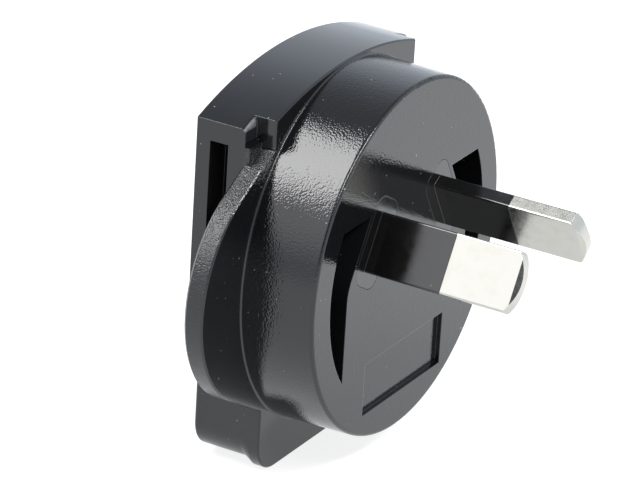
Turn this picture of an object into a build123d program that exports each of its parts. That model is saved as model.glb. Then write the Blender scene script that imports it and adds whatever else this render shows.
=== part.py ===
from build123d import *
import os
from math import cos, radians, sin, sqrt, tan

# Clip-on plug head for a wall power supply, with two flat angled pins.
# Millimetres. The origin lies on the rear mating face, level with the middle of
# the pin pattern. The pins point along -Y, and +Z is up.

# Pins
pin_width = 6.35
pin_thickness = 1.63
pin_reach = 16.75
pin_circle_radius = 7.92
pin_lean = 30.0
pin_edge_radius = 0.2
pin_tip_radius = 5.4
tip_bevel_length = 0.55
tip_bevel_depth = 0.3

# Insulating sleeves around the pin roots
sleeve_length = 8.6
sleeve_wall = 0.35
collar_margin = 1.5
collar_thickness = 1.2
collar_corner_radius = 1.4

# Riveted tail of each pin
tenon_width = 4.2
tenon_thickness = 1.0
rivet_margin = 0.5
rivet_height = 0.5

# Round front of the housing
disc_radius = 19.0
disc_depth = 8.2
disc_draft = 1.5
disc_edge_radius = 0.4
seam_radius = 0.2

# Finger flange and its two ears
flange_thickness = 2.2
flange_edge_bevel = 0.15
ear_reach = 7.5
ear_root_margin = 1.4
ear_slope = 30.0
ear_back_bevel = 0.3
neck_step = 0.4
neck_margin = 0.3

# Block behind the flange, with its arched top and its chin
rear_depth = 5.6
block_width = 28.0
top_rise = 0.36
top_arc_radius = 46.0
lip_drop = 2.95
lip_height = 0.7
lip_bevel = 1.0
chin_corner_radius = 3.4
heel_radius = 0.4

# Guide rails and their grooves
rail_projection = 2.2
rail_bottom = -9.0
rail_edge_radius = 0.5
groove_width = 2.1
groove_setback = 1.6
groove_depth = 3.0
groove_top = 14.5
stop_height = 0.2
stop_setback = 0.6

# Moulded pockets and shallow panel recess in the face
pocket_rim = 3.4
pocket_top = 7.35
pocket_side = 12.2
pocket_wall = 0.55
pocket_bend_radius = 5.0
pocket_floor = 1.5
panel_width = 16.0
panel_height = 5.8
panel_across = 0.45
panel_middle = -12.2
panel_depth = 0.5

# Contact chambers, open to the rear
face_wall = 7.5
chamber_width = 7.2
chamber_top = 8.4
chamber_bottom = -10.6
chamber_corner_radius = 0.8

# Rear cover
cover_thickness = 1.5
cover_ledge = 0.9
cover_corner_radius = 1.2
window_width = 3.0
window_length = 10.5
window_middle = -0.6

# Contact springs
strip_thickness = 0.5
strip_width = 5.0
strip_top = 7.3
strip_bend_radius = 2.2
strip_bend_height = -6.4
bow_height = 3.0
bow_rise = 1.4
bow_gap = 0.5

# Clearance between pieces that are put together
fit_gap = 0.05

# How far off an edge may lie and still be picked
pick_tolerance = 0.01

# Levels, measured forward from the rear face
flange_front = rear_depth + flange_thickness
face_front = flange_front + disc_depth
pin_tip = face_front + pin_reach
sleeve_end = face_front + sleeve_length
collar_seat = face_front - collar_thickness
chamber_floor = face_front - face_wall
pocket_depth = face_wall - pocket_floor

# Outlines worked out from the driving sizes
disc_base_radius = disc_radius + disc_depth * tan(radians(disc_draft))
top_height = disc_base_radius + top_rise
lip_bottom = -disc_radius - lip_drop
heel_bottom = lip_bottom + lip_height
block_half = block_width / 2
rail_half = block_half + rail_projection
neck_end = rail_half + neck_margin
stop_level = groove_top + stop_height
ear_shoulder = sqrt(disc_base_radius**2 - block_half**2) + ear_root_margin
ear_radius = ear_shoulder * cos(radians(ear_slope))
ear_centre = disc_radius + ear_reach - ear_radius
pin_x = pin_circle_radius * cos(radians(pin_lean))
pin_z = pin_circle_radius * sin(radians(pin_lean))
collar_width = pin_width + 2 * collar_margin
collar_depth = pin_thickness + 2 * collar_margin
chamber_side = pin_x + chamber_width / 2
chamber_height = chamber_top - chamber_bottom
chamber_middle = (chamber_top + chamber_bottom) / 2
cover_width = 2 * (chamber_side + cover_ledge)
cover_height = chamber_height + 2 * cover_ledge

sides = {"left": -1, "right": 1}


def front_plane(forward):
    """Upright plane that faces the pins' way, a distance forward of the rear face."""
    return Plane.XZ.offset(forward)


def pin_section_plane(side, forward):
    """Cross-section plane of one pin: local X across its thickness, local Y along its width."""
    out = (side * cos(radians(pin_lean)), 0, sin(radians(pin_lean)))
    return Plane(origin=(side * pin_x, -forward, pin_z), x_dir=out, z_dir=(0, -1, 0))


def pin_side_plane(side, normal):
    """Plane through one pin's axis: local X runs forward from the rear face."""
    return Plane(origin=(side * pin_x, 0, pin_z), x_dir=(0, -1, 0), z_dir=normal)


def arched_outline(width, bottom):
    """Upright block from the bottom to the arched top."""
    with BuildSketch() as block:
        with Locations((0, top_height)):
            Rectangle(width, top_height - bottom, align=(Align.CENTER, Align.MAX))
        with Locations((0, top_height - top_arc_radius)):
            Circle(top_arc_radius, mode=Mode.INTERSECT)
    return block.sketch


def chin_outline(bottom):
    """Chin below the ears, with rounded lower corners."""
    with BuildSketch() as chin:
        with Locations((0, -ear_shoulder)):
            Rectangle(block_width, -ear_shoulder - bottom, align=(Align.CENTER, Align.MAX))
        fillet(chin.vertices().group_by(Axis.Y)[0], chin_corner_radius)
    return chin.sketch


def ear_outline(inset):
    """Both ears, drawn in by an inset: round noses and straight flanks that meet the block."""
    nose = ear_radius - inset
    with BuildSketch() as ears:
        with Locations((-ear_centre, 0), (ear_centre, 0)):
            Circle(nose)
        Rectangle(2 * ear_centre, 2 * nose / cos(radians(ear_slope)))
        make_hull()
    return ears.sketch


def flank_height(across):
    """Height of an ear's upper flank at a distance across from the middle."""
    return ear_shoulder - (across - ear_centre) * tan(radians(ear_slope))


def edges_at(edges, forward):
    """Edges whose middle lies at one level, measured forward from the rear face."""
    return edges.filter_by_position(Axis.Y, -forward - pick_tolerance, -forward + pick_tolerance)


def arcs_of(edges, radius):
    """Round edges of one radius."""
    arcs = edges.filter_by(GeomType.CIRCLE)
    return arcs.filter_by(lambda arc: abs(arc.radius - radius) < pick_tolerance)


block_outline = arched_outline(block_width, -ear_shoulder)
rail_outline = arched_outline(2 * rail_half, rail_bottom)
heel_outline = chin_outline(heel_bottom)
lip_outline = chin_outline(lip_bottom)

# Outline of one face pocket, on the right
inner_offset = pin_circle_radius + pin_thickness / 2 + collar_margin + pocket_wall
pocket_bend_z = (inner_offset - pocket_side * cos(radians(pin_lean))) / sin(radians(pin_lean))
pocket_inner_x = (inner_offset - pocket_top * sin(radians(pin_lean))) / cos(radians(pin_lean))
with BuildSketch() as pocket_outline:
    with BuildLine():
        FilletPolyline(
            (pocket_inner_x, pocket_top),
            (pocket_side, pocket_bend_z),
            (pocket_side, -disc_radius),
            radius=pocket_bend_radius,
        )
        Polyline(
            (pocket_side, -disc_radius),
            (disc_radius, -disc_radius),
            (disc_radius, pocket_top),
            (pocket_inner_x, pocket_top),
        )
    make_face()
    Circle(disc_radius - pocket_rim, mode=Mode.INTERSECT)

# Housing: one moulding of disc, flange, block and rails
with BuildPart() as housing:
    # Flange, with its ears bevelled behind
    with BuildSketch(front_plane(rear_depth)):
        add(ear_outline(ear_back_bevel))
    with BuildSketch(front_plane(rear_depth + ear_back_bevel)):
        add(ear_outline(0))
    loft(ruled=True)
    with BuildSketch(front_plane(rear_depth + ear_back_bevel)):
        add(ear_outline(0))
    extrude(amount=flange_thickness - ear_back_bevel)
    with BuildSketch(front_plane(rear_depth)):
        add(block_outline)
    extrude(amount=flange_thickness)

    # Chin of the flange, swelling forward from the heel to the lip
    with BuildSketch(front_plane(rear_depth)):
        add(heel_outline)
    with BuildSketch(front_plane(rear_depth + lip_bevel)):
        add(lip_outline)
    loft(ruled=True)
    with BuildSketch(front_plane(rear_depth + lip_bevel)):
        add(lip_outline)
    extrude(amount=flange_thickness - lip_bevel)
    chamfer(housing.faces().sort_by(Axis.Y)[0].edges(), flange_edge_bevel)

    # Block, heel and rails behind the flange
    with BuildSketch(front_plane(0)):
        add(block_outline)
        add(heel_outline)
        add(rail_outline)
    extrude(amount=rear_depth)
    heel_edges = edges_at(housing.edges().filter_by(Axis.X), 0)
    fillet(heel_edges.sort_by(Axis.Z)[0], heel_radius)

    # Step where each rail's front face looks out above the ear
    rail_tops = arcs_of(edges_at(housing.edges(), rear_depth), top_arc_radius)
    fillet(rail_tops, rail_edge_radius)
    with BuildSketch(front_plane(rear_depth)):
        with BuildLine():
            Polyline(
                (block_half, flank_height(block_half) + neck_step),
                (block_half, flank_height(block_half) - neck_step),
                (neck_end, flank_height(neck_end) - neck_step),
                (neck_end, flank_height(neck_end) + neck_step),
                close=True,
            )
        make_face()
        mirror(about=Plane.YZ)
    extrude(amount=flange_thickness, mode=Mode.SUBTRACT)

    # Ledge below each rail's stop, which is set back from it
    with BuildSketch(front_plane(rear_depth)):
        with BuildLine():
            Polyline(
                (block_half, stop_level),
                (rail_half, stop_level),
                (rail_half, flank_height(rail_half) - 2 * neck_step),
                (block_half, flank_height(block_half) - 2 * neck_step),
                close=True,
            )
        make_face()
        mirror(about=Plane.YZ)
    extrude(amount=stop_setback)

    # Disc, drafted toward its rounded rim, with a small fillet where it leaves the flange
    with Locations(front_plane(flange_front)):
        Cone(disc_base_radius, disc_radius, disc_depth, align=(Align.CENTER, Align.CENTER, Align.MIN))
    fillet(arcs_of(edges_at(housing.edges(), face_front), disc_radius), disc_edge_radius)
    seam_bow = seam_radius * cos(radians(45))
    seam_inner = disc_base_radius - seam_radius * tan(radians(disc_draft))
    seam_outer = disc_base_radius + seam_radius
    seam_front = -flange_front - seam_radius
    with BuildSketch(Plane.XY):
        with BuildLine():
            ThreePointArc(
                (seam_outer, -flange_front),
                (seam_outer - seam_bow, seam_front + seam_bow),
                (seam_inner, seam_front),
            )
            Polyline(
                (seam_inner, seam_front),
                (seam_inner - seam_radius, seam_front),
                (seam_inner - seam_radius, -rear_depth),
                (seam_outer, -rear_depth),
                (seam_outer, -flange_front),
            )
        make_face()
    revolve(axis=Axis.Y)

    # Pockets in the face and the shallow panel recess
    with BuildSketch(front_plane(face_front)):
        add(pocket_outline.sketch)
        mirror(about=Plane.YZ)
    extrude(amount=-pocket_depth, mode=Mode.SUBTRACT)
    with BuildSketch(front_plane(face_front)):
        with Locations((panel_across, panel_middle)):
            Rectangle(panel_width, panel_height)
    extrude(amount=-panel_depth, mode=Mode.SUBTRACT)

    # Seats for the sleeve collars and passages for the pins
    for side in sides.values():
        with BuildSketch(pin_section_plane(side, collar_seat)):
            RectangleRounded(
                collar_depth + 2 * fit_gap, collar_width + 2 * fit_gap, collar_corner_radius + fit_gap
            )
        extrude(amount=collar_thickness, mode=Mode.SUBTRACT)
        with BuildSketch(pin_section_plane(side, chamber_floor)):
            Rectangle(pin_thickness + 2 * fit_gap, pin_width + 2 * fit_gap)
        extrude(amount=collar_seat - chamber_floor, mode=Mode.SUBTRACT)

    # Contact chambers and the rebate for the rear cover
    with BuildSketch(front_plane(0)):
        with Locations((-pin_x, chamber_middle), (pin_x, chamber_middle)):
            RectangleRounded(chamber_width, chamber_height, chamber_corner_radius)
    extrude(amount=chamber_floor, mode=Mode.SUBTRACT)
    with BuildSketch(front_plane(0)):
        with Locations((0, chamber_middle)):
            RectangleRounded(cover_width, cover_height, cover_corner_radius)
    extrude(amount=cover_thickness, mode=Mode.SUBTRACT)

    # Grooves in the rails, open below
    with BuildSketch(Plane.XY.offset(groove_top)):
        with Locations((-rail_half, -groove_setback), (rail_half, -groove_setback)):
            Rectangle(2 * groove_depth, groove_width, align=(Align.CENTER, Align.MAX))
    extrude(amount=rail_bottom - groove_top, mode=Mode.SUBTRACT)

housing.part.label = "housing"

# Rear cover, seated in the housing's rebate, with a window over each contact
with BuildPart() as rear_cover:
    with BuildSketch(front_plane(0)):
        with Locations((0, chamber_middle)):
            RectangleRounded(
                cover_width - 2 * fit_gap, cover_height - 2 * fit_gap, cover_corner_radius - fit_gap
            )
        with Locations((-pin_x, window_middle), (pin_x, window_middle)):
            SlotOverall(window_length, window_width, rotation=90, mode=Mode.SUBTRACT)
    extrude(amount=cover_thickness)
rear_cover.part.label = "rear_cover"


def make_pin(side):
    """One flat pin: bevelled blade, neck under the sleeve, shank in the housing, riveted tail."""
    leaning = radians(pin_lean)
    across = (side * cos(leaning), 0, sin(leaning))
    along = (-side * sin(leaning), 0, cos(leaning))
    with BuildPart() as pin:
        with BuildSketch(pin_section_plane(side, sleeve_end)):
            RectangleRounded(pin_thickness, pin_width, pin_edge_radius)
        extrude(amount=pin_tip - sleeve_end)
        # Rounded end, seen on the wide face
        with BuildSketch(pin_side_plane(side, across)):
            with Locations((pin_tip - pin_tip_radius, 0)):
                Circle(pin_tip_radius)
            with Locations((sleeve_end, 0)):
                Rectangle(
                    pin_tip - pin_tip_radius - sleeve_end, pin_width, align=(Align.MIN, Align.CENTER)
                )
        extrude(amount=pin_thickness, both=True, mode=Mode.INTERSECT)
        # Bevels on both wide faces of the end
        with BuildSketch(pin_side_plane(side, along)):
            with BuildLine():
                Polyline(
                    (pin_tip - tip_bevel_length, pin_thickness / 2),
                    (pin_tip, pin_thickness / 2 - tip_bevel_depth),
                    (pin_tip, pin_thickness / 2),
                    close=True,
                )
            make_face()
            mirror(about=Plane.XZ)
        extrude(amount=pin_width, both=True, mode=Mode.SUBTRACT)
        # Neck inside the sleeve
        with BuildSketch(pin_section_plane(side, collar_seat)):
            Rectangle(pin_thickness - 2 * sleeve_wall, pin_width - 2 * sleeve_wall)
        extrude(amount=sleeve_end - collar_seat)
        # Shank, tenon and rivet head inside the housing
        with BuildSketch(pin_section_plane(side, chamber_floor)):
            Rectangle(pin_thickness, pin_width)
        extrude(amount=collar_seat - chamber_floor)
        with BuildSketch(pin_section_plane(side, chamber_floor)):
            Rectangle(tenon_thickness, tenon_width)
        extrude(amount=-strip_thickness)
        with BuildSketch(pin_section_plane(side, chamber_floor - strip_thickness)):
            Rectangle(tenon_thickness + 2 * rivet_margin, tenon_width + 2 * rivet_margin)
        extrude(amount=-rivet_height)
    return pin.part


def make_sleeve(side):
    """Insulating sleeve, flush with the blade, with a collar set into the housing's face."""
    with BuildPart() as sleeve:
        with BuildSketch(pin_section_plane(side, collar_seat)):
            RectangleRounded(collar_depth, collar_width, collar_corner_radius)
        extrude(amount=collar_thickness)
        with BuildSketch(pin_section_plane(side, face_front)):
            RectangleRounded(pin_thickness, pin_width, pin_edge_radius)
        extrude(amount=sleeve_length)
        with BuildSketch(pin_section_plane(side, collar_seat)):
            Rectangle(pin_thickness - 2 * sleeve_wall, pin_width - 2 * sleeve_wall)
        extrude(amount=sleeve_end - collar_seat, mode=Mode.SUBTRACT)
    return sleeve.part


def make_contact(side):
    """Bent spring strip: a leg riveted to the pin, a round turn and a bowed arm behind the window."""
    leg_level = strip_thickness / 2 - chamber_floor
    arm_level = leg_level + 2 * strip_bend_radius
    bow_level = -cover_thickness - bow_gap - strip_thickness / 2
    with BuildPart() as contact:
        with BuildSketch(Plane.YZ.offset(side * pin_x)):
            with BuildLine():
                Line((leg_level, strip_top), (leg_level, strip_bend_height))
                ThreePointArc(
                    (leg_level, strip_bend_height),
                    (leg_level + strip_bend_radius, strip_bend_height - strip_bend_radius),
                    (arm_level, strip_bend_height),
                )
                Line((arm_level, strip_bend_height), (bow_level - bow_rise, window_middle - bow_height))
                ThreePointArc(
                    (bow_level - bow_rise, window_middle - bow_height),
                    (bow_level, window_middle),
                    (bow_level - bow_rise, window_middle + bow_height),
                )
            trace(line_width=strip_thickness)
        extrude(amount=strip_width / 2, both=True)
        with BuildSketch(pin_section_plane(side, chamber_floor)):
            Rectangle(tenon_thickness + 2 * fit_gap, tenon_width + 2 * fit_gap)
        extrude(amount=-strip_thickness, mode=Mode.SUBTRACT)
    return contact.part


parts = [housing.part, rear_cover.part]
for name, side in sides.items():
    for kind, make in (("pin", make_pin), ("sleeve", make_sleeve), ("contact", make_contact)):
        piece = make(side)
        piece.label = f"{kind}_{name}"
        parts.append(piece)

os.makedirs("parts", exist_ok=True)
for piece in parts:
    export_step(piece, f"parts/{piece.label}.step")
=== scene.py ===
from math import cos, pi, radians, sin

import bpy
from mathutils import Matrix, Vector


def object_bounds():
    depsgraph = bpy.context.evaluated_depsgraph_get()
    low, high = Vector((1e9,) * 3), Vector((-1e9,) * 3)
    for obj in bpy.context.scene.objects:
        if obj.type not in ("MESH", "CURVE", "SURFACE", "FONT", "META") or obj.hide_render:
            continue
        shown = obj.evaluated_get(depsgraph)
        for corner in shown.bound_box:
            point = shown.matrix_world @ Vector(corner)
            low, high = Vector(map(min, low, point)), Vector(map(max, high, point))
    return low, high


# Looks of a clip-on plug head: black moulded housing, sleeved pins, bronze contact springs.
# Metres, in the part's own frame: pins along -Y, +Z up, origin on the rear mating face.

MM = 0.001

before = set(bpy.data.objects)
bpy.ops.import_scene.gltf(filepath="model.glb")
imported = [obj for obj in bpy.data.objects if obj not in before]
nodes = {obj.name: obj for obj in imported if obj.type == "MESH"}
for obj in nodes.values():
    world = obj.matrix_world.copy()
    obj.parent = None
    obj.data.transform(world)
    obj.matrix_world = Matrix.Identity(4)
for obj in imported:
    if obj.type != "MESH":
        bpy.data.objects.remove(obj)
cad_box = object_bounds()
scene = bpy.context.scene

# Places that the finishes follow, in millimetres forward of the rear face, out from the middle or up
RAIL_FRONT = 5.6
FLANGE_FRONT = 7.8
BLOCK_SIDE = 14.0
FLANK_SIDE = 16.4
FLANK_BOTTOM = 12.0
FLANK_TOP = 14.2
SCUFF_BOTTOM = 16.25

# Lean of the pins' wide faces
PIN_LEAN = radians(30)


def rgba(red, green, blue):
    return (red, green, blue, 1.0)


def direction(azimuth, elevation):
    """Unit vector; azimuth 0 is the pins' way and grows toward +X."""
    turn, rise = radians(azimuth), radians(elevation)
    return Vector((sin(turn) * cos(rise), -cos(turn) * cos(rise), sin(rise)))


def add_object(name, data):
    """A new object in the scene."""
    added = bpy.data.objects.new(name, data)
    scene.collection.objects.link(added)
    return added


class Graph:
    """A node tree with short ways to add the nodes used here."""

    def __init__(self, tree):
        self.nodes = tree.nodes
        self.links = tree.links
        self.place = self.add("TexCoord")

    def add(self, kind):
        return self.nodes.new("ShaderNode" + kind)

    def feed(self, socket, value):
        """Links an output to a socket, or sets the socket to a plain value."""
        if isinstance(value, bpy.types.NodeSocket):
            self.links.new(value, socket)
        else:
            socket.default_value = value

    def set_inputs(self, node_name, values):
        """Feeds several inputs of a node that the tree came with."""
        inputs = self.nodes[node_name].inputs
        for name, value in values.items():
            self.feed(inputs[name], value)

    def math(self, operation, *values):
        node = self.add("Math")
        node.operation = operation
        for socket, value in zip(node.inputs, values):
            self.feed(socket, value)
        return node.outputs[0]

    def product(self, *factors):
        result = factors[0]
        for factor in factors[1:]:
            result = self.math("MULTIPLY", result, factor)
        return result

    def raised(self, value, mask, amount):
        """The value, with an amount added where the mask is 1."""
        return self.math("ADD", value, self.math("MULTIPLY", mask, amount))

    def ramp(self, value, low, high, start=0.0, end=1.0):
        """Smooth change from start to end while the value goes from low to high."""
        node = self.add("MapRange")
        node.interpolation_type = "SMOOTHSTEP"
        for socket, given in zip(node.inputs, (value, low, high, start, end)):
            self.feed(socket, given)
        return node.outputs[0]

    def above(self, value, level, blend=0.1):
        """Mask that comes in from a level on, over a blend."""
        return self.ramp(value, level, level + blend)

    def below(self, value, level, blend=0.1):
        """Mask that goes out from a level on, over a blend."""
        return self.ramp(value, level, level + blend, start=1.0, end=0.0)

    def vector(self, operation, first, second):
        node = self.add("VectorMath")
        node.operation = operation
        self.feed(node.inputs[0], first)
        self.feed(node.inputs[1], second)
        return node

    def along(self, output, axis):
        """Cosine between a direction of the texture place and a fixed axis."""
        return self.vector("DOT_PRODUCT", self.place.outputs[output], axis).outputs["Value"]

    def toward(self, heading, outer, inner, start=0.0, end=1.0):
        """Smooth change of the sky from start to end between two angles off a heading, in degrees."""
        near = self.along("Generated", heading)
        return self.ramp(near, cos(radians(outer)), cos(radians(inner)), start, end)

    def coordinate(self, axis):
        """Place along one axis of the part, in millimetres."""
        node = self.add("SeparateXYZ")
        self.links.new(self.place.outputs["Object"], node.inputs[0])
        return self.math("DIVIDE", node.outputs[axis], MM)

    def grains(self, grain, stretch=(1.0, 1.0, 1.0)):
        """Place counted in grains of a size in millimetres; stretch lengthens the grain along an axis."""
        counts = [1.0 / (grain * MM * factor) for factor in stretch]
        return self.vector("MULTIPLY", self.place.outputs["Object"], counts).outputs["Vector"]

    def noise(self, grain, detail=2.0, stretch=(1.0, 1.0, 1.0)):
        """Cloudy noise between 0 and 1."""
        node = self.add("TexNoise")
        self.links.new(self.grains(grain, stretch), node.inputs["Vector"])
        node.inputs["Scale"].default_value = 1.0
        node.inputs["Detail"].default_value = detail
        return node.outputs["Fac"]

    def cells(self, grain):
        """Irregular cells about a grain wide."""
        node = self.add("TexVoronoi")
        self.links.new(self.grains(grain), node.inputs["Vector"])
        node.inputs["Scale"].default_value = 1.0
        return node.outputs

    def specks(self, spacing, radius, share):
        """Scattered soft dots: 1 inside a dot. Only a share of the cells, a spacing wide, holds one."""
        cells = self.cells(spacing)
        reach = radius / spacing
        dot = self.ramp(cells["Distance"], 0.4 * reach, reach, start=1.0, end=0.0)
        pick = self.add("SeparateColor")
        self.links.new(cells["Color"], pick.inputs[0])
        return self.math("MULTIPLY", dot, self.math("LESS_THAN", pick.outputs["Red"], share))

    def pebbles(self, grain):
        """Small domes side by side, about a grain wide: height 1 on top and lower between them."""
        distance = self.cells(grain)["Distance"]
        return self.math("SUBTRACT", 1.0, self.math("MULTIPLY", distance, distance))

    def mix(self, share, first, second):
        """Colour between two colours."""
        node = self.add("Mix")
        node.data_type = "RGBA"
        self.feed(node.inputs["Factor"], share)
        self.feed(node.inputs["A"], first)
        self.feed(node.inputs["B"], second)
        return node.outputs["Result"]

    def worn_edges(self, radius):
        """Surface direction with the edges rounded by a radius in millimetres."""
        node = self.add("Bevel")
        node.samples = 6
        node.inputs["Radius"].default_value = radius * MM
        return node.outputs["Normal"]

    def bump(self, height, depth, strength, below):
        """Relief from a height between 0 and 1, whose full depth is given in millimetres."""
        node = self.add("Bump")
        self.feed(node.inputs["Strength"], strength)
        node.inputs["Distance"].default_value = depth * MM
        self.links.new(height, node.inputs["Height"])
        self.links.new(below, node.inputs["Normal"])
        return node.outputs["Normal"]

    def rays(self):
        """Masks of the rays from the camera, and of those mirrored by gloss or sent through glass."""
        path = self.add("LightPath").outputs
        mirrored = self.math("MAXIMUM", path["Is Glossy Ray"], path["Is Transmission Ray"])
        return path["Is Camera Ray"], mirrored


# Main shader of every material
SURFACE = "Principled BSDF"


def new_material(name):
    """A material and its graph."""
    material = bpy.data.materials.new(name)
    material.use_nodes = True
    return material, Graph(material.node_tree)


def housing_plastic():
    """Black polycarbonate: orange peel on the disc's side, spark-eroded ears, smoother face and block."""
    material, graph = new_material("moulded_black_plastic")
    across = graph.math("ABSOLUTE", graph.coordinate("X"))
    forward = graph.math("MULTIPLY", graph.coordinate("Y"), -1.0)
    height = graph.coordinate("Z")
    on_disc = graph.above(forward, FLANGE_FRONT)
    behind_disc = graph.below(forward, FLANGE_FRONT)
    on_flange = graph.above(forward, RAIL_FRONT - 0.1)
    beside_block = graph.above(across, BLOCK_SIDE)
    sideways = graph.ramp(graph.along("Normal", (0.0, -1.0, 0.0)), 0.3, 0.9, start=1.0, end=0.0)
    disc_side = graph.product(on_disc, sideways)
    ear_rim = graph.product(behind_disc, on_flange, sideways, beside_block)

    # Scuffed top edge of each rail's front
    corner = graph.product(
        graph.above(across, BLOCK_SIDE, blend=0.5),
        graph.above(forward, RAIL_FRONT - 0.35, blend=0.15),
        graph.below(forward, RAIL_FRONT + 0.02, blend=0.02),
        graph.above(height, SCUFF_BOTTOM, blend=0.3),
        graph.ramp(graph.noise(0.2, detail=3.0), 0.25, 0.5),
    )
    # Rough flank between each rail and the ear below it, with painted glints: light spots put into its
    # colour
    flank_painted_glints = graph.product(
        behind_disc,
        on_flange,
        beside_block,
        graph.below(across, FLANK_SIDE, blend=0.4),
        graph.above(height, FLANK_BOTTOM, blend=0.3),
        graph.below(height, FLANK_TOP, blend=0.3),
        graph.ramp(graph.noise(0.12), 0.5, 0.65),
    )
    # Scuffs on the rail corners, together with the painted glints on the flanks
    scuff_and_painted_glints = graph.math("MAXIMUM", corner, graph.math("MULTIPLY", flank_painted_glints, 0.25))

    # Black with faint clouds, then the scuffs and the flank's painted glints, fine dust and a few larger
    # grains
    deep_black = rgba(0.0082, 0.0085, 0.0092)
    pale_black = rgba(0.0105, 0.0109, 0.0118)
    scuff_and_glint_grey = rgba(0.19, 0.194, 0.204)
    dust_grey = rgba(0.3, 0.3, 0.3)
    grain_grey = rgba(0.35, 0.35, 0.35)
    colour = graph.mix(graph.noise(6.0, detail=3.0), deep_black, pale_black)
    # The spots that this grey gives the flanks are painted glints
    colour = graph.mix(scuff_and_painted_glints, colour, scuff_and_glint_grey)
    colour = graph.mix(graph.specks(spacing=1.2, radius=0.1, share=0.5), colour, dust_grey)
    colour = graph.mix(graph.specks(spacing=3.0, radius=0.16, share=0.4), colour, grain_grey)

    # Smeared gloss, finer on the disc's side and duller where eroded, scuffed or on the flank's painted
    # glints
    roughness = graph.ramp(graph.noise(3.0, detail=4.0), 0.3, 0.7, start=0.06, end=0.1)
    for mask, change in ((disc_side, -0.03), (ear_rim, 0.1), (scuff_and_painted_glints, 0.3)):
        roughness = graph.raised(roughness, mask, change)

    # Eroded ears, then the waves and pebbles of the orange peel, faint off the disc
    peel = graph.raised(graph.math("MULTIPLY", on_disc, 0.6), disc_side, 0.4)
    peel = graph.math("MAXIMUM", peel, 0.15)
    relief = graph.bump(graph.pebbles(0.16), depth=0.045, strength=ear_rim, below=graph.worn_edges(0.1))
    relief = graph.bump(graph.noise(0.35, detail=1.0), depth=0.01, strength=peel, below=relief)
    relief = graph.bump(graph.pebbles(0.21), depth=0.0135, strength=peel, below=relief)
    graph.set_inputs(
        SURFACE, {"Base Color": colour, "Roughness": roughness, "IOR": 1.585, "Normal": relief}
    )
    return material


def sleeve_plastic():
    """Smooth black sleeve, drawn along the pin."""
    material, graph = new_material("insulating_sleeve_plastic")
    deep_black = rgba(0.0068, 0.0065, 0.0063)
    pale_black = rgba(0.0092, 0.0088, 0.0084)
    dust_grey = rgba(0.3, 0.3, 0.3)
    colour = graph.mix(graph.noise(2.0, detail=3.0, stretch=(1.0, 3.0, 1.0)), deep_black, pale_black)
    colour = graph.mix(graph.specks(spacing=1.3, radius=0.08, share=0.4), colour, dust_grey)
    roughness = graph.ramp(graph.noise(1.2, detail=3.0), 0.3, 0.7, start=0.1, end=0.16)
    drawn = graph.noise(0.25, stretch=(1.0, 6.0, 1.0))
    relief = graph.bump(drawn, depth=0.006, strength=0.3, below=graph.worn_edges(0.1))
    graph.set_inputs(
        SURFACE, {"Base Color": colour, "Roughness": roughness, "IOR": 1.7, "Normal": relief}
    )
    return material


def pin_metal(name, side):
    """Nickel plate of one pin: smooth wide faces, grainy bevels, duller narrow sides."""
    material, graph = new_material(name)
    wide = graph.math("ABSOLUTE", graph.along("Normal", (side * cos(PIN_LEAN), 0.0, sin(PIN_LEAN))))
    punched = graph.ramp(wide, 0.9, 0.98, start=1.0, end=0.0)
    narrow = graph.ramp(wide, 0.3, 0.7, start=1.0, end=0.0)
    bright_nickel = rgba(0.54, 0.528, 0.483)
    stained_nickel = rgba(0.515, 0.502, 0.45)
    pit_brown = rgba(0.28, 0.26, 0.22)
    stain = graph.ramp(graph.noise(1.4, detail=4.0), 0.4, 0.75)
    colour = graph.mix(stain, bright_nickel, stained_nickel)
    colour = graph.mix(graph.specks(spacing=1.6, radius=0.1, share=0.35), colour, pit_brown)
    wear = graph.ramp(graph.noise(0.7, detail=4.0), 0.3, 0.7, start=0.1, end=0.16)
    roughness = graph.raised(wear, narrow, 0.14)
    grain = graph.raised(graph.math("MULTIPLY", punched, 0.9), narrow, -0.87)
    grain = graph.math("MAXIMUM", grain, 0.04)
    edges = graph.worn_edges(0.04)
    relief = graph.bump(graph.noise(0.12, detail=3.0), depth=0.014, strength=grain, below=edges)
    graph.set_inputs(
        SURFACE, {"Base Color": colour, "Metallic": 1.0, "Roughness": roughness, "Normal": relief}
    )
    return material


def contact_metal():
    """Rolled spring bronze, with fine streaks along the strip."""
    material, graph = new_material("spring_bronze")
    dark_bronze = rgba(0.62, 0.42, 0.22)
    light_bronze = rgba(0.76, 0.56, 0.33)
    streak = graph.noise(0.25, detail=3.0, stretch=(1.0, 1.0, 12.0))
    colour = graph.mix(streak, dark_bronze, light_bronze)
    roughness = graph.ramp(streak, 0.3, 0.7, start=0.22, end=0.36)
    relief = graph.bump(streak, depth=0.004, strength=0.4, below=graph.worn_edges(0.08))
    graph.set_inputs(
        SURFACE, {"Base Color": colour, "Metallic": 1.0, "Roughness": roughness, "Normal": relief}
    )
    return material


def dress(node, material):
    """Gives a CAD node its finish."""
    mesh = nodes[node].data
    mesh.materials.clear()
    mesh.materials.append(material)


plastic = housing_plastic()
sleeve = sleeve_plastic()
bronze = contact_metal()
dress("housing", plastic)
dress("rear_cover", plastic)
for side_name, side in (("left", -1), ("right", 1)):
    dress(f"sleeve_{side_name}", sleeve)
    dress(f"pin_{side_name}", pin_metal(f"nickel_plate_{side_name}", side))
    dress(f"contact_{side_name}", bronze)

# Camera, fitted to the photograph's frame of 640 by 480 pixels
CAMERA_AZIMUTH = -60.936
CAMERA_ELEVATION = 23.876
CAMERA_ROLL = 3.509
CAMERA_DISTANCE = 501 * MM
CAMERA_TARGET = Vector((-3.942, -7.883, 1.04)) * MM
SENSOR_WIDTH = 36.0
LENS = 277.4


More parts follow.
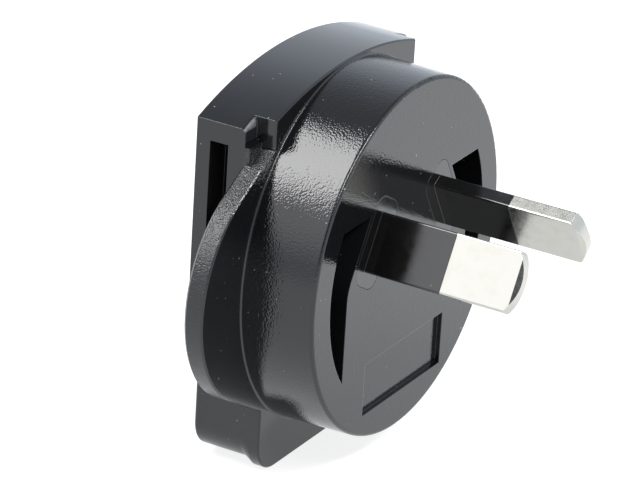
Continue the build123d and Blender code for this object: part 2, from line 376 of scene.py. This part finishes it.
def make_camera():
    back = direction(CAMERA_AZIMUTH, CAMERA_ELEVATION)
    right = direction(CAMERA_AZIMUTH + 90, 0)
    level = Matrix((right, back.cross(right), back)).transposed()
    turn = level @ Matrix.Rotation(radians(CAMERA_ROLL), 3, "Z")
    lens = bpy.data.cameras.new("camera")
    lens.sensor_fit = "HORIZONTAL"
    lens.sensor_width = SENSOR_WIDTH
    lens.lens = LENS
    lens.clip_start = 0.01
    camera = add_object("camera", lens)
    camera.matrix_world = Matrix.Translation(CAMERA_TARGET + CAMERA_DISTANCE * back) @ turn.to_4x4()
    scene.camera = camera


make_camera()

# Soft boxes: a broad one behind the part, high on the left, and a long thin one high in front
LAMP_DISTANCE = 0.6
LAMP_AIM = Vector((0.0, -10.0, 0.0)) * MM


def make_soft_box(name, azimuth, elevation, width, height, radiance):
    lamp = bpy.data.lights.new(name, "AREA")
    lamp.shape = "RECTANGLE"
    lamp.size = width
    lamp.size_y = height
    lamp.energy = radiance * pi * width * height
    away = direction(azimuth, elevation)
    soft_box = add_object(name, lamp)
    soft_box.location = LAMP_AIM + LAMP_DISTANCE * away
    soft_box.rotation_euler = away.to_track_quat("Z", "Y").to_euler()


make_soft_box("soft_box_behind", azimuth=-142.5, elevation=52.8, width=0.336, height=0.37, radiance=8.2)
make_soft_box("soft_box_front", azimuth=-15, elevation=48, width=0.55, height=0.06, radiance=24.0)

# Floor: how far it reaches, its grey under the lamps, and what it adds of its own to the camera
FLOOR_REACH = 3.0
FLOOR_GREY = 0.4
FLOOR_WHITE = 0.84


def floor_white():
    """Matt floor, even and white to the camera. Mirrored in the part it is bluer far away, and dimmer
    on the left and behind."""
    material, graph = new_material("floor_white")
    camera_ray, mirrored_ray = graph.rays()
    away = graph.vector("LENGTH", graph.place.outputs["Object"], (0.0, 0.0, 0.0)).outputs["Value"]
    tint = graph.mix(graph.ramp(away, 0.08, 0.4), rgba(0.97, 1.0, 1.03), rgba(0.94, 1.02, 1.13))
    left_to_right = graph.ramp(graph.coordinate("X"), -40.0, 40.0, start=0.67, end=0.98)
    front_to_back = graph.ramp(graph.coordinate("Y"), 20.0, 90.0, start=1.0, end=0.86)
    mirrored = graph.product(mirrored_ray, left_to_right, front_to_back)
    graph.set_inputs(SURFACE, {
        "Base Color": rgba(FLOOR_GREY, FLOOR_GREY, FLOOR_GREY),
        "Roughness": 0.9,
        "Specular IOR Level": 0.0,
        "Emission Color": graph.mix(camera_ray, tint, rgba(1.0, 1.0, 1.0)),
        "Emission Strength": graph.math("MAXIMUM", graph.product(camera_ray, FLOOR_WHITE), mirrored),
    })
    return material


def make_floor():
    """Pale floor under the part, with the part's shadow on it."""
    level = cad_box[0][2]
    outline = ((-1, -1), (1, -1), (1, 1), (-1, 1))
    corners = [(x * FLOOR_REACH, y * FLOOR_REACH, level) for x, y in outline]
    mesh = bpy.data.meshes.new("floor")
    mesh.from_pydata(corners, [], [(0, 1, 2, 3)])
    mesh.materials.append(floor_white())
    floor = add_object("floor", mesh)


make_floor()

# Studio: strengths of its light, low and overhead, far left, in the camera's opening and in the glow
SKY_LOW = 1.08
SKY_HIGH = 0.36
SKY_LEFT = 0.84
OPENING = 0.12
GLOW = 0.98

# Middle of the glow, and the share of the studio's light that falls on the part
GLOW_HEADING = direction(-124, 38)
LIGHTING_SHARE = 0.4


def make_world():
    """White studio: bright near the horizon, dim and cool overhead, with a glow beside the soft box
    and a dark opening where the camera stands. It lights the part less than it shows."""
    world = bpy.data.worlds.new("studio")
    scene.world = world
    world.use_nodes = True
    graph = Graph(world.node_tree)
    rise = graph.along("Generated", (0.0, 0.0, 1.0))
    rightward = graph.along("Generated", (1.0, 0.0, 0.0))
    camera_heading = direction(CAMERA_AZIMUTH, CAMERA_ELEVATION)
    sky = graph.product(
        graph.ramp(rise, 0.42, 0.9, start=SKY_LOW, end=SKY_HIGH),
        graph.toward(camera_heading, outer=23, inner=13, start=1.0, end=OPENING),
        graph.ramp(rightward, -0.9, 0.3, start=SKY_LEFT, end=1.0),
    )
    glow = graph.toward(GLOW_HEADING, outer=36, inner=4)
    seen = graph.math("MAXIMUM", *graph.rays())
    share = graph.ramp(seen, 0.0, 1.0, start=LIGHTING_SHARE, end=1.0)
    cool = graph.mix(graph.ramp(rise, 0.1, 0.6), rgba(0.92, 1.0, 1.1), rgba(0.9, 1.0, 1.14))
    graph.set_inputs("Background", {
        "Color": graph.mix(graph.ramp(glow, 0.0, 0.5), cool, rgba(0.98, 0.99, 1.03)),
        "Strength": graph.product(graph.raised(sky, glow, GLOW), share),
    })


make_world()
scene.view_settings.view_transform = "Standard"
